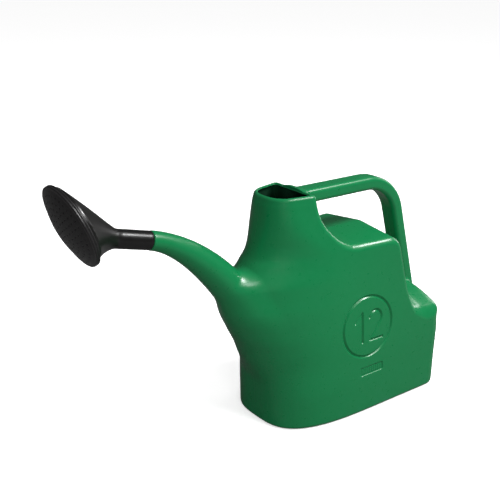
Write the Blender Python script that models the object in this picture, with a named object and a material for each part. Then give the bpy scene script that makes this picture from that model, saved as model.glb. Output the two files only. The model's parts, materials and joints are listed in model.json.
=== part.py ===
"""Twelve-litre garden watering can with a push-on rose.

The can is one hollow blow-moulded piece: tank, filler neck, spout and handle
share one wall. It is cut here by thin planes into the named pieces
tank_shell, neck, spout, spout_spigot and handle. The rose is two more mouldings:
a bell with a socket that pushes over the spigot, and a perforated face that
snaps into the bell.

Frame: metres, +Z up, the spout points to -X, and the origin is at the middle
of the flat base.
"""

import math
from collections import namedtuple

import bmesh
import bpy
from mathutils import Matrix, Vector

MM = 0.001

# Tank
BASE_LENGTH = 310 * MM
BASE_WIDTH = 180 * MM
FOOT_RADIUS = 7 * MM
LEDGE_HEIGHT = 155 * MM
LEDGE_LENGTH = 78 * MM
DECK_HEIGHT = 281 * MM
WALL = 2.4 * MM

# Filler neck
RIM_HEIGHT = 354 * MM
NECK_SETBACK = 11 * MM
NECK_LENGTH = 62 * MM
NECK_FRONT_WIDTH = 66 * MM
NECK_REAR_WIDTH = 96 * MM
NECK_CUT = 9 * MM
RIM_BAND = 8 * MM
MOUTH_CORNER = 7 * MM

# Spout, as a curve from inside the tank to its tip
SPOUT_REACH = 174 * MM
SPOUT_TIP_HEIGHT = 327 * MM
SPOUT_TIP_RISE = math.radians(14.8)
SPOUT_TIP_RADIUS = 13.5 * MM
SPOUT_ROOT_RADIUS = 29 * MM
SPOUT_CUT = 0.42

# Spigot and socket
SPIGOT_LENGTH = 34 * MM
SPIGOT_WALL = 1.8 * MM
SOCKET_RADIUS = 13.0 * MM
SOCKET_WALL = 1.6 * MM
SOCKET_LENGTH = 52 * MM
SOCKET_CLEARANCE = 0.3 * MM

# Rose
ROSE_RADIUS = 57 * MM
ROSE_DEPTH = 67 * MM
ROSE_LIFT = 10.6 * MM
ROSE_TILT = math.radians(34.9)
ROSE_WALL = 1.8 * MM
FACE_PLATE = 2.0 * MM
FACE_DOME = 11.5 * MM
FACE_FLANGE = 6 * MM
FACE_SKIRT = 3.5 * MM
SKIRT_CLEARANCE = 0.4 * MM
BELL_RADIUS = 51.5 * MM
BELL_BAND = 4 * MM
HOLE_DIAMETER = 1.8 * MM
HOLE_RINGS = 6
HOLE_PITCH = 7.8 * MM

# Handle
HANDLE_THICKNESS = 21 * MM
HANDLE_WIDTH = 32 * MM
HANDLE_CORNER = 8 * MM
HANDLE_DROP = 1.5 * MM
HANDLE_FALL = 2.5 * MM
HANDLE_BEND = 70 * MM
HANDLE_LEAN = math.radians(14.8)

# Gaps between cut or touching pieces
GAP = 0.3 * MM

BASE_FRONT = -BASE_LENGTH / 2
BASE_REAR = BASE_LENGTH / 2
HALF_WIDTH = BASE_WIDTH / 2
HUMP_REAR = BASE_REAR - LEDGE_LENGTH
NECK_FRONT = BASE_FRONT + NECK_SETBACK
NECK_REAR = NECK_FRONT + NECK_LENGTH

GREEN = (0.012, 0.150, 0.050, 1.0)
BLACK = (0.012, 0.012, 0.013, 1.0)

# one plan outline; half is its half width at the neck's rear, and taper its growth to the rear
Level = namedtuple("Level", "height front rear half taper nose nose_power tail tail_power")


# ---------------------------------------------------------------- helpers

def clear_scene():
    """Remove every object of the scene."""
    for obj in list(bpy.data.objects):
        bpy.data.objects.remove(obj, do_unlink=True)


def plastic(name, colour, roughness):
    """Return a Principled material for one piece."""
    material = bpy.data.materials.new(name)
    material.use_nodes = True
    shader = material.node_tree.nodes["Principled BSDF"]
    shader.inputs["Base Color"].default_value = colour
    shader.inputs["Roughness"].default_value = roughness
    shader.inputs["Metallic"].default_value = 0.0
    material.diffuse_color = colour
    return material


def link_object(name, mesh):
    """Return a new object of the scene that carries the mesh."""
    obj = bpy.data.objects.new(name, mesh)
    bpy.context.collection.objects.link(obj)
    return obj


def solid_from(bm, name):
    """Return an object from a closed bmesh, with flat triangles that face outward."""
    bmesh.ops.triangulate(bm, faces=bm.faces)
    bmesh.ops.recalc_face_normals(bm, faces=bm.faces)
    mesh = bpy.data.meshes.new(name)
    bm.to_mesh(mesh)
    bm.free()
    return link_object(name, mesh)


def loft(name, loops):
    """Return an object whose skin joins equal loops of points, with closed ends."""
    bm = bmesh.new()
    rings = [[bm.verts.new(point) for point in loop] for loop in loops]
    count = len(rings[0])
    for lower, upper in zip(rings, rings[1:]):
        for i in range(count):
            j = (i + 1) % count
            bm.faces.new((lower[i], lower[j], upper[j], upper[i]))
    bm.faces.new(rings[0][::-1])
    bm.faces.new(rings[-1])
    return solid_from(bm, name)


def turned(name, profile, place, segments):
    """Return a solid turned about +Z from (radius, height) points, then placed."""
    bm = bmesh.new()
    verts = [bm.verts.new((radius, 0.0, height)) for radius, height in profile]
    for i, vert in enumerate(verts):
        bm.edges.new((vert, verts[(i + 1) % len(verts)]))
    bmesh.ops.spin(bm, geom=bm.verts[:] + bm.edges[:], axis=(0, 0, 1), cent=(0, 0, 0),
                   angle=math.tau, steps=segments, use_merge=True)
    bmesh.ops.remove_doubles(bm, verts=bm.verts, dist=0.01 * MM)
    bm.transform(place)
    return solid_from(bm, name)


def slab(name, outline, half_depth):
    """Return a flat outline of (x, z) points extruded to both sides of y = 0."""
    near = [Vector((x, -half_depth, z)) for x, z in outline]
    far = [Vector((x, half_depth, z)) for x, z in outline]
    return loft(name, [near, far])


def combine(target, other, operation):
    """Apply one exact Boolean to the target and remove the other object."""
    modifier = target.modifiers.new(operation.lower(), "BOOLEAN")
    modifier.operation = operation
    modifier.solver = "EXACT"
    modifier.object = other
    depsgraph = bpy.context.evaluated_depsgraph_get()
    mesh = bpy.data.meshes.new_from_object(target.evaluated_get(depsgraph))
    target.modifiers.clear()
    target.data = mesh
    bpy.data.objects.remove(other, do_unlink=True)


def copied(obj, name):
    """Return a second object with its own copy of the mesh."""
    return link_object(name, obj.data.copy())


def finish(obj, material, origin=None, sharp=math.radians(35)):
    """Give a piece its material, smooth shading and, if it moves, its origin."""
    obj.data.materials.clear()
    obj.data.materials.append(material)
    obj.data.shade_smooth()
    obj.data.set_sharp_from_angle(angle=sharp)
    if origin is not None:
        obj.data.transform(Matrix.Translation(-origin))
        obj.location = origin


# ------------------------------------------------------- tank and neck

def level_loop(level, widest=HALF_WIDTH, points_nose=9, points_side=4, points_tail=6):
    """Return the plan outline of one level: a rounded nose, sides and a rounded tail.

    Nose and tail are quarter superellipses; the sides taper toward the front and
    are nowhere wider than the widest half width.
    """
    half = []
    for i in range(points_nose):
        angle = 0.5 * math.pi * i / (points_nose - 1)
        along = 1 - math.cos(angle) ** (2 / level.nose_power)
        across = math.sin(angle) ** (2 / level.nose_power)
        half.append((level.front + level.nose * along, across))
    side_start = level.front + level.nose
    side_end = level.rear - level.tail
    for i in range(1, points_side):
        half.append((side_start + (side_end - side_start) * i / points_side, 1.0))
    for i in range(points_tail):
        angle = 0.5 * math.pi * i / points_tail
        along = math.sin(angle) ** (2 / level.tail_power)
        across = math.cos(angle) ** (2 / level.tail_power)
        half.append((side_end + level.tail * along, across))
    half.append((level.rear, 0.0))
    near = []
    for x, share in half:
        reach = min(level.half + level.taper * (x - NECK_REAR), widest)
        near.append(Vector((x, -reach * share, level.height)))
    far = [Vector((p.x, -p.y, p.z)) for p in near[1:-1]]
    return near + far[::-1]


def tank_levels():
    """Return the plan outlines of tank and neck from the base up to the rim."""
    front = BASE_FRONT
    rear = BASE_REAR
    half = HALF_WIDTH
    ledge = LEDGE_HEIGHT
    deck = DECK_HEIGHT
    rim = RIM_HEIGHT
    nose = 0.6 * BASE_LENGTH
    foot = FOOT_RADIUS
    levels = []
    for turn in (0.0, 30.0, 60.0, 90.0):
        inset = foot * (1 - math.sin(math.radians(turn)))
        height = foot * (1 - math.cos(math.radians(turn)))
        levels.append(Level(height, front + inset, rear - inset, half - inset, 0.0,
                            nose, 3.1, 30 * MM, 3.4))
    neck_half = NECK_REAR_WIDTH / 2
    neck_taper = (NECK_REAR_WIDTH - NECK_FRONT_WIDTH) / 2 / NECK_LENGTH
    hump = HUMP_REAR
    lean = half - neck_half

    def level(height, ahead, behind, drawn_in, taper, nose_share, nose_power, tail, tail_power=2.0):
        """One outline: ahead of the base front, ending at behind, its side drawn in."""
        levels.append(Level(height, front - ahead * MM, behind, half - drawn_in * lean, taper,
                            nose_share * nose, nose_power, tail * MM, tail_power))

    # walls of the lower tank
    level(0.30 * ledge, 1, rear + 1 * MM, 0.01, 0.00, 1.00, 3.1, 30, 3.4)
    level(0.60 * ledge, 5, rear + 2.5 * MM, 0.06, 0.01, 1.00, 3.0, 31, 3.4)
    level(0.82 * ledge, 14, rear + 3.5 * MM, 0.10, 0.015, 1.00, 2.9, 32, 3.4)
    # rounded, crowned ledge behind the hump
    level(ledge - 20 * MM, 18, rear + 3 * MM, 0.13, 0.02, 1.00, 2.8, 32, 3.4)
    level(ledge - 11 * MM, 23, rear + 1.5 * MM, 0.14, 0.02, 1.00, 2.8, 60, 2.6)
    level(ledge - 5 * MM, 26, rear, 0.15, 0.02, 1.00, 2.7, 70, 2.2)
    level(ledge - 1.5 * MM, 28, rear - 4 * MM, 0.155, 0.02, 1.00, 2.7, 68, 1.8)
    level(ledge, 29, hump, 0.16, 0.02, 1.00, 2.7, 10)
    # hump with its steep rear wall
    level(ledge + 11 * MM, 34, hump - 4 * MM, 0.19, 0.025, 0.97, 2.6, 11)
    level(ledge + 42 * MM, 44, hump - 9 * MM, 0.25, 0.035, 0.90, 2.5, 12)
    level(deck - 56 * MM, 47, hump - 14 * MM, 0.32, 0.05, 0.80, 2.4, 13)
    level(deck - 26 * MM, 35, hump - 20 * MM, 0.40, 0.065, 0.72, 2.3, 17)
    # rounded edge and ridged crown of the deck
    level(deck - 16 * MM, 21, hump - 23 * MM, 0.45, 0.07, 0.66, 2.2, 22)
    level(deck - 10 * MM, 12, hump - 25 * MM, 0.49, 0.08, 0.62, 2.2, 34, 2.4)
    level(deck - 6 * MM, 7, hump - 27 * MM, 0.53, 0.09, 0.56, 2.2, 60, 2.6)
    level(deck - 2.5 * MM, 4, hump - 29 * MM, 0.57, 0.10, 0.50, 2.2, 90, 1.5)
    level(deck, 2, hump - 34 * MM, 0.61, 0.10, 0.45, 2.2, 110, 1.05)
    # neck, sweeping up to the rim
    level(deck + 6 * MM, 0, NECK_REAR + 42 * MM, 0.65, 0.11, 0.35, 2.3, 14)
    level(deck + 18 * MM, -1, NECK_REAR + 27 * MM, 0.73, 0.14, 0.30, 2.4, 12)
    level(deck + 36 * MM, -3, NECK_REAR + 11 * MM, 0.84, 0.18, 0.25, 2.5, 11)
    level(rim - 14 * MM, -6, NECK_REAR + 2 * MM, 0.95, 0.22, 0.19, 2.6, 10)
    setback = NECK_SETBACK / MM
    level(rim - 3 * MM, 2 - setback, NECK_REAR, 1.0, neck_taper, 0.17, 2.7, 10)
    level(rim, -1 - setback, NECK_REAR - 2 * MM, 1.0 + 2 * MM / lean, neck_taper, 0.16, 2.7, 10)
    return levels


def shrunk(level, wall):
    """Return a level moved inward by the wall on every side."""
    height = level.height - wall
    if level.height < 0.4 * LEDGE_HEIGHT:
        height = level.height + wall
    return level._replace(height=height, front=level.front + wall, rear=level.rear - wall,
                          half=level.half - wall)


def tank_solid(wall):
    """Return tank and neck as one solid, thinner by the wall on every side."""
    return loft("tank_form", [level_loop(shrunk(level, wall)) for level in tank_levels()])


def neck_zone(grow):
    """Return the block that holds the neck above its cut."""
    low = DECK_HEIGHT + NECK_CUT - grow
    left = NECK_FRONT - 45 * MM
    right = NECK_REAR + 65 * MM
    top = RIM_HEIGHT + 20 * MM
    return slab("neck_zone", [(left, low), (left, top), (right, top), (right, low)], 80 * MM)


def mouth_cutter():
    """Return the prism that opens the flat top of the neck."""
    front = NECK_FRONT + RIM_BAND
    rear = NECK_REAR - RIM_BAND
    taper = (NECK_REAR_WIDTH - NECK_FRONT_WIDTH) / 2 / NECK_LENGTH
    opening = Level(RIM_HEIGHT + 10 * MM, front, rear, NECK_REAR_WIDTH / 2 - RIM_BAND, taper,
                    2.2 * MOUTH_CORNER, 2.8, MOUTH_CORNER, 2.2)
    lower = opening._replace(height=RIM_HEIGHT - 10 * MM)
    return loft("mouth_form", [level_loop(lower), level_loop(opening)])


# ------------------------------------------------------------- spout

def tip_axis():
    """Return the direction in which the spout's tip points."""
    return Vector((-math.cos(SPOUT_TIP_RISE), 0.0, math.sin(SPOUT_TIP_RISE)))


def tip_point():
    """Return the middle of the spout's end face."""
    return Vector((BASE_FRONT - SPOUT_REACH, 0.0, SPOUT_TIP_HEIGHT))


def tip_frame(distance=0.0):
    """Return the placement whose +Z leaves the spout, at a distance past its tip."""
    turn = Vector((0, 0, 1)).rotation_difference(tip_axis()).to_matrix().to_4x4()
    return Matrix.Translation(tip_point() + tip_axis() * distance) @ turn


def spout_point(t):
    """Return the spout's centre at share t of its curve, and its direction there."""
    end = tip_point()
    start = Vector((BASE_FRONT + 17 * MM, 0.0, SPOUT_TIP_HEIGHT - 199 * MM))
    first = Vector((BASE_FRONT - 50 * MM, 0.0, SPOUT_TIP_HEIGHT - 70 * MM))
    second = end - tip_axis() * 50 * MM
    s = 1 - t
    centre = s ** 3 * start + 3 * s * s * t * first + 3 * s * t * t * second + t ** 3 * end
    heading = s * s * (first - start) + 2 * s * t * (second - first) + t * t * (end - second)
    return centre, heading.normalized()


def spout_radius(t):
    """Return the spout's outer radius at share t of its curve."""
    return SPOUT_TIP_RADIUS + (SPOUT_ROOT_RADIUS - SPOUT_TIP_RADIUS) * (1 - t * t) ** 2.2


def ring(centre, heading, radius, points):
    """Return a circle of points square to the heading, starting on its upper side."""
    side = Vector((0, 1, 0))
    up = side.cross(heading).normalized()
    turns = (math.tau * i / points for i in range(points))
    return [centre + radius * (math.cos(a) * up + math.sin(a) * side) for a in turns]


def spout_solid(wall, overrun, points=24, stations=17):
    """Return the spout as one solid whose end runs past the tip by the overrun."""
    loops = []
    for i in range(stations):
        t = i / (stations - 1)
        centre, heading = spout_point(t)
        loops.append(ring(centre, heading, spout_radius(t) - wall, points))
    if overrun > 0:
        centre, heading = spout_point(1.0)
        loops.append(ring(centre + heading * overrun, heading, spout_radius(1.0) - wall, points))
    return loft("spout_form", loops)


def spout_zone(grow):
    """Return the block that holds the spout past its cut, larger by grow at the cut."""
    centre, heading = spout_point(SPOUT_CUT)
    start = centre - heading * grow
    up = Vector((-heading.z, 0.0, heading.x)) * -1
    corners = []
    for along, across in ((0, -60), (0, 60), (300, 200), (300, -260)):
        corner = start + heading * (along * MM) + up * (across * MM)
        corners.append((corner.x, corner.z))
    return slab("spout_zone", corners, 80 * MM)


# ------------------------------------------------------------ handle

def handle_path():
    """Return centres and directions along the handle, from the neck to the ledge."""
    height = RIM_HEIGHT - HANDLE_DROP - HANDLE_THICKNESS / 2
    foot = Vector((BASE_REAR - HANDLE_THICKNESS / 2 + 7.5 * MM, 0.0, LEDGE_HEIGHT + 8 * MM))
    lean = Vector((math.sin(HANDLE_LEAN), 0.0, -math.cos(HANDLE_LEAN)))
    # the bend's middle lies below the top run and beside the leaning grip
    bend_z = height - HANDLE_FALL - HANDLE_BEND
    bend_end_z = bend_z + HANDLE_BEND * math.sin(HANDLE_LEAN)
    bend_end_x = foot.x - (bend_end_z - foot.z) * math.tan(HANDLE_LEAN)
    bend_x = bend_end_x - HANDLE_BEND * math.cos(HANDLE_LEAN)
    start_x = NECK_REAR - 12 * MM
    path = []
    start = Vector((start_x, 0.0, height))
    bend_start = Vector((bend_x, 0.0, height - HANDLE_FALL))
    for i in range(5):
        path.append((start.lerp(bend_start, i / 5), Vector((1, 0, 0))))
    steps = 9
    for i in range(steps + 1):
        angle = 0.5 * math.pi - (0.5 * math.pi - HANDLE_LEAN) * i / steps
        out = Vector((math.cos(angle), 0.0, math.sin(angle)))
        centre = Vector((bend_x, 0.0, bend_z)) + out * HANDLE_BEND
        path.append((centre, Vector((out.z, 0.0, -out.x))))
    bend_end = path[-1][0]
    for i in range(1, 5):
        path.append((bend_end.lerp(foot, i / 4), lean))
    # the last stretch curls in behind the rear wall
    for forward, down, turn in ((-1, 10, 0.0), (1, 25, -0.16), (6, 44, -0.3)):
        centre = foot + Vector((-forward * MM, 0.0, -down * MM))
        path.append((centre, Vector((math.sin(turn), 0.0, -math.cos(turn)))))
    return path


def handle_section(wall):
    """Return the handle's rounded rectangle as (thickness, width) offsets."""
    radius = HANDLE_CORNER - wall
    half_t = HANDLE_THICKNESS / 2 - wall - radius
    half_w = HANDLE_WIDTH / 2 - wall - radius
    offsets = []
    for corner, (st, sw) in enumerate(((1, 1), (-1, 1), (-1, -1), (1, -1))):
        for i in range(4):
            angle = 0.5 * math.pi * (corner + i / 3)
            offsets.append((st * half_t + radius * math.cos(angle),
                            sw * half_w + radius * math.sin(angle)))
    return offsets


def handle_solid(wall):
    """Return the handle as one solid that ends inside the neck and the ledge."""
    loops = []
    for centre, heading in handle_path():
        up = Vector((-heading.z, 0.0, heading.x))
        side = Vector((0, 1, 0))
        loops.append([centre + up * t + side * w for t, w in handle_section(wall)])
    return loft("handle_form", loops)


def handle_zone(grow):
    """Return the block that holds the handle between its two cuts."""
    left = NECK_REAR + 24 * MM - grow
    low = LEDGE_HEIGHT + 12 * MM - grow
    top = RIM_HEIGHT + 20 * MM
    right = BASE_REAR + 60 * MM
    under = RIM_HEIGHT - HANDLE_DROP - HANDLE_THICKNESS - 12 * MM
    outline = [(left, under), (left, top), (right, top), (right, low),
               (BASE_REAR - 45 * MM, low), (BASE_REAR - 65 * MM, DECK_HEIGHT + 4 * MM),
               (BASE_REAR - 95 * MM, under)]
    return slab("handle_zone", outline, 60 * MM)


# ---------------------------------------------------------- moulding

def moulding():
    """Return the whole hollow can: outer form less inner form, opened at both ends."""
    body = tank_solid(0.0)
    combine(body, spout_solid(0.0, 0.0), "UNION")
    combine(body, handle_solid(0.0), "UNION")
    hollow = tank_solid(WALL)
    combine(hollow, spout_solid(WALL, 5 * MM), "UNION")
    combine(hollow, handle_solid(WALL), "UNION")
    combine(hollow, mouth_cutter(), "UNION")
    combine(body, hollow, "DIFFERENCE")
    return body


def make_can(material):
    """Cut the moulding into tank_shell, neck, spout and handle."""
    body = moulding()
    spout = copied(body, "spout")
    combine(spout, spout_zone(0.0), "INTERSECT")
    handle = copied(body, "handle")
    combine(handle, handle_zone(0.0), "INTERSECT")
    neck = copied(body, "neck")
    combine(neck, neck_zone(0.0), "INTERSECT")
    combine(neck, handle_zone(GAP), "DIFFERENCE")
    tank = copied(body, "tank_shell")
    combine(tank, spout_zone(GAP), "DIFFERENCE")
    combine(tank, handle_zone(GAP), "DIFFERENCE")
    combine(tank, neck_zone(GAP), "DIFFERENCE")
    bpy.data.objects.remove(body, do_unlink=True)
    for piece in (tank, neck, spout, handle):
        finish(piece, material)


def make_spigot(material):
    """Make the thin tube on the spout's tip that carries the rose."""
    outer = SOCKET_RADIUS - SOCKET_WALL - SOCKET_CLEARANCE
    inner = outer - SPIGOT_WALL
    lead = 1.2 * MM
    profile = [(inner, GAP), (outer, GAP), (outer, SPIGOT_LENGTH - lead),
               (outer - lead / 2, SPIGOT_LENGTH), (inner, SPIGOT_LENGTH)]
    spigot = turned("spout_spigot", profile, tip_frame(), 24)
    finish(spigot, material, tip_point())


# -------------------------------------------------------------- rose

def rose_frame():
    """Return the placement of the rose's face: +Z leaves the face, +X is its low side."""
    base = tip_point() + tip_axis() * (SOCKET_LENGTH + ROSE_DEPTH)
    lift = Vector((math.sin(SPOUT_TIP_RISE), 0.0, math.cos(SPOUT_TIP_RISE))) * ROSE_LIFT
    turn = Matrix.Rotation(-ROSE_TILT, 4, "Y")
    upright = Vector((0, 0, 1)).rotation_difference(tip_axis()).to_matrix().to_4x4()
    return Matrix.Translation(base + lift) @ turn @ upright


def bell_solid(wall, mouth_radius):
    """Return the flared bell between socket and face as one solid."""
    socket_end = tip_point() + tip_axis() * SOCKET_LENGTH
    face = rose_frame()
    rim_centre = face @ Vector((0, 0, -FACE_FLANGE - GAP))
    normal = face.to_3x3() @ Vector((0, 0, 1))
    loops = []
    start = socket_end - tip_axis() * (6 * MM)
    band_centre = rim_centre - normal * BELL_BAND
    loops.append(ring(start, tip_axis(), SOCKET_RADIUS - wall, 32))
    for t in (0.0, 0.10, 0.22, 0.38, 0.56, 0.76, 0.90, 1.0):
        centre = socket_end.lerp(band_centre, t)
        heading = tip_axis().lerp(normal, t ** 0.5).normalized()
        radius = SOCKET_RADIUS + (mouth_radius - SOCKET_RADIUS) * t ** 1.25
        loops.append(ring(centre, heading, radius - wall, 32))
    overrun = 3 * MM if wall > 0 else 0.0
    loops.append(ring(rim_centre + normal * overrun, normal, mouth_radius - wall, 32))
    return loft("bell_form", loops)


def make_rose_body(material):
    """Make the bell with its socket tube."""
    body = bell_solid(0.0, BELL_RADIUS)
    socket = turned("socket_form", [(0.0, 0.5 * MM), (SOCKET_RADIUS, 0.5 * MM),
                                    (SOCKET_RADIUS, SOCKET_LENGTH), (0.0, SOCKET_LENGTH)],
                    tip_frame(), 32)
    combine(body, socket, "UNION")
    bore = SOCKET_RADIUS - SOCKET_WALL
    hollow = bell_solid(ROSE_WALL, BELL_RADIUS)
    bore_form = turned("bore_form", [(0.0, -5 * MM), (bore, -5 * MM), (bore, SOCKET_LENGTH),
                                     (0.0, SOCKET_LENGTH)], tip_frame(), 32)
    combine(hollow, bore_form, "UNION")
    combine(body, hollow, "DIFFERENCE")
    body.name = "rose_body"
    finish(body, material, tip_point())


def hole_places():
    """Return the (x, y) places of the spray holes: one in the middle and rings around it."""
    places = [(0.0, 0.0)]
    for ring_index in range(1, HOLE_RINGS + 1):
        count = 6 * ring_index
        for i in range(count):
            angle = math.tau * i / count
            radius = ring_index * HOLE_PITCH
            places.append((radius * math.cos(angle), radius * math.sin(angle)))
    return places


def make_rose_face(material):
    """Make the domed face plate with its snap-in skirt and spray holes."""
    skirt = BELL_RADIUS - ROSE_WALL - SKIRT_CLEARANCE
    thick = FACE_PLATE
    arc = []
    for i in range(9):
        share = i / 8
        arc.append((ROSE_RADIUS * 0.93 * share, FACE_DOME * (1 - share ** 2)))
    outer = arc + [(ROSE_RADIUS - 1.2 * MM, 0.0), (ROSE_RADIUS, -1.2 * MM),
                   (ROSE_RADIUS, -FACE_FLANGE), (skirt, -FACE_FLANGE),
                   (skirt, -FACE_FLANGE - FACE_SKIRT), (skirt - thick, -FACE_FLANGE - FACE_SKIRT),
                   (skirt - thick, -thick)]
    inner = [(radius * 0.96, height - thick) for radius, height in arc[::-1]]
    face = turned("rose_face", outer + inner, Matrix.Identity(4), 40)
    bm = bmesh.new()
    for x, y in hole_places():
        bmesh.ops.create_cone(bm, cap_ends=True, segments=6, radius1=HOLE_DIAMETER / 2,
                              radius2=HOLE_DIAMETER / 2, depth=30 * MM,
                              matrix=Matrix.Translation((x, y, 0)))
    drill_mesh = bpy.data.meshes.new("spray_drill")
    bm.to_mesh(drill_mesh)
    bm.free()
    combine(face, link_object("spray_drill", drill_mesh), "DIFFERENCE")
    place = rose_frame()
    face.data.transform(place)
    finish(face, material, place.translation.copy())


def main():
    """Build every piece of the can."""
    clear_scene()
    green = plastic("green_plastic", GREEN, 0.38)
    black = plastic("black_plastic", BLACK, 0.45)
    make_can(green)
    make_spigot(green)
    make_rose_body(black)
    make_rose_face(black)


main()
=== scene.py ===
"""Visible surfaces of the twelve-litre garden watering can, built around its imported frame.

The can is one blow-moulded skin worked out as a solid field: every point has a
signed depth below the surface, and the skin is where that depth is nothing. The
spigot, the rose's bell and its perforated face are turned and swept surfaces.

Sizes inside the classes are millimetres in the can's own frame: +Z up, the spout
towards -X, the origin at the middle of the base.
"""

import json
import logging
import math
from collections.abc import Callable
from dataclasses import dataclass
from enum import Enum

import bmesh
import bpy
import numpy as np
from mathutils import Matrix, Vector, geometry


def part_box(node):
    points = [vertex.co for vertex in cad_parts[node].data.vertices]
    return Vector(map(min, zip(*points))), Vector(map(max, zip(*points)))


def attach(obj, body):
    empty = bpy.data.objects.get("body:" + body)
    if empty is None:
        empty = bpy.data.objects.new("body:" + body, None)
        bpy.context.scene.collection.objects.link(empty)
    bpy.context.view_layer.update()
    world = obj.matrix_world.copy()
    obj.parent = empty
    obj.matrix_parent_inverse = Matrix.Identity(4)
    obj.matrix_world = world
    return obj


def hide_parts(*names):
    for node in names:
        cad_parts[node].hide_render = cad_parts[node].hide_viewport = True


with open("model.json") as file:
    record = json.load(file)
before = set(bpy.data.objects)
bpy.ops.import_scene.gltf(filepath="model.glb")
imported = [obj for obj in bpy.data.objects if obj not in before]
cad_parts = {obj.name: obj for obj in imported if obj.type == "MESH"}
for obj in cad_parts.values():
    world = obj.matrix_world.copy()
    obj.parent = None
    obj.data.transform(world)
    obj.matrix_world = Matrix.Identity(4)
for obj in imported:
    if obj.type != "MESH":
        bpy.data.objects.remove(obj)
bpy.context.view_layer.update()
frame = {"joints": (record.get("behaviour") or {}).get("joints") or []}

MM = 0.001
FAR_OUTSIDE = 60.0  # a depth in millimetres that no fillet reaches
LOG = logging.getLogger("watering_can")
Field = Callable[[np.ndarray, np.ndarray, np.ndarray], np.ndarray]
Place = tuple[float, float, float]


# ------------------------------------------------------------------ numpy tools

def rounded_max(a: np.ndarray, b: np.ndarray, radius: np.ndarray | float) -> np.ndarray:
    """Meet two depths so that the edge between them is a circular round.

    Args:
        a: signed depths of the first surface, negative inside.
        b: signed depths of the second surface, negative inside.
        radius: radius of the round, one number or one per point.

    Returns:
        Signed depths of what lies inside both.
    """
    corner = np.hypot(np.maximum(a + radius, 0.0), np.maximum(b + radius, 0.0))
    return np.minimum(-radius, np.maximum(a, b)) + corner


def rounded_min(a: np.ndarray, b: np.ndarray, radius: np.ndarray | float) -> np.ndarray:
    """Join two depths with a circular fillet between them.

    Args:
        a: signed depths of the first surface, negative inside.
        b: signed depths of the second surface, negative inside.
        radius: radius of the fillet, one number or one per point.

    Returns:
        Signed depths of what lies inside either.
    """
    return -rounded_max(-a, -b, radius)


def eased(x: np.ndarray, low: float, high: float) -> np.ndarray:
    """Return 0 below low, 1 above high and the cubic ease 3t^2 - 2t^3 between them."""
    t = np.clip((x - low) / (high - low), 0.0, 1.0)
    return t * t * (3.0 - 2.0 * t)


def flow(at: np.ndarray, knots: np.ndarray, values: np.ndarray) -> np.ndarray:
    """Read a smooth curve through a few values, without overshoot.

    Each span is a cubic Hermite whose end slopes are the harmonic mean of the
    neighbouring chords, or nothing where the chords turn back.

    Args:
        at: where to read the curve.
        knots: increasing positions of the values.
        values: the curve's value at each knot.

    Returns:
        One value per place, held constant past the ends.
    """
    step = np.diff(knots)
    chord = np.diff(values) / step
    before, after = chord[:-1], chord[1:]
    same_way = before * after > 0.0
    safe = np.where(same_way, before + after, 1.0)
    slope = np.zeros(len(knots))
    slope[1:-1] = np.where(same_way, 2.0 * before * after / safe, 0.0)
    place = np.clip(at, knots[0], knots[-1])
    i = np.clip(np.searchsorted(knots, place, side="right") - 1, 0, len(step) - 1)
    t = (place - knots[i]) / step[i]
    rise = (3.0 - 2.0 * t) * t * t
    lean_in = t * (1.0 - t) ** 2 * step[i] * slope[i]
    lean_out = t * t * (t - 1.0) * step[i] * slope[i + 1]
    return values[i] * (1.0 - rise) + values[i + 1] * rise + lean_in + lean_out


def rounded_outline(corners: list[tuple[float, float, float]], steps: int = 9) -> np.ndarray:
    """Turn a list of (x, z, radius) corners into a line whose corners are arcs.

    Args:
        corners: the corners in order, each with the radius of its arc.
        steps: number of points on each arc.

    Returns:
        An (n, 2) array of points along the line.
    """
    points = [np.array(corners[0][:2])]
    for before, here, after in zip(corners, corners[1:], corners[2:]):
        corner = np.array(here[:2])
        way_in = corner - np.array(before[:2])
        way_out = np.array(after[:2]) - corner
        way_in /= np.hypot(*way_in)
        way_out /= np.hypot(*way_out)
        turn = math.atan2(way_in[0] * way_out[1] - way_in[1] * way_out[0], way_in @ way_out)
        trim = here[2] * math.tan(abs(turn) / 2)
        side = np.array([-way_in[1], way_in[0]]) * math.copysign(1.0, turn)
        start = corner - way_in * trim
        angles = np.linspace(0.0, abs(turn), steps)[:, None]
        arc = start + here[2] * (np.sin(angles) * way_in + (1.0 - np.cos(angles)) * side)
        points.extend(arc)
    points.append(np.array(corners[-1][:2]))
    return np.array(points)


@dataclass
class PlaneLine:
    """A line in the can's middle plane, given by (x, z) points."""

    points: np.ndarray

    def nearest(self, x: np.ndarray, z: np.ndarray) -> tuple[np.ndarray, np.ndarray]:
        """Find the nearest place on the line for many points.

        Args:
            x: x of each point.
            z: z of each point.

        Returns:
            The distance of each point, and its place as a share of the line's points.
        """
        best = np.full(np.shape(x), 1e9)
        share = np.zeros(np.shape(x))
        last = len(self.points) - 1
        for i, (start, end) in enumerate(zip(self.points, self.points[1:])):
            along = end - start
            t = (x - start[0]) * along[0] + (z - start[1]) * along[1]
            t = t / max(along @ along, 1e-12)
            t = np.clip(t, 0.0, 1.0)
            gap = np.hypot(x - start[0] - t * along[0], z - start[1] - t * along[1])
            closer = gap < best
            best = np.where(closer, gap, best)
            share = np.where(closer, (i + t) / last, share)
        return best, share

    def depth(self, x: np.ndarray, z: np.ndarray) -> np.ndarray:
        """Return signed distances to the closed line, negative inside it.

        Args:
            x: x of each point.
            z: z of each point.

        Returns:
            The distance to the line, negative where a ray crosses it an odd number of times.
        """
        best, _ = self.nearest(x, z)
        inside = np.zeros(np.shape(x), bool)
        for start, end in zip(self.points, np.roll(self.points, -1, axis=0)):
            spans = (start[1] > z) != (end[1] > z)
            rise = end[1] - start[1]
            cross = start[0] + (z - start[1]) * (end[0] - start[0]) / (rise if rise else 1.0)
            inside ^= spans & (x < cross)
        return np.where(inside, -best, best)


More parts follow.
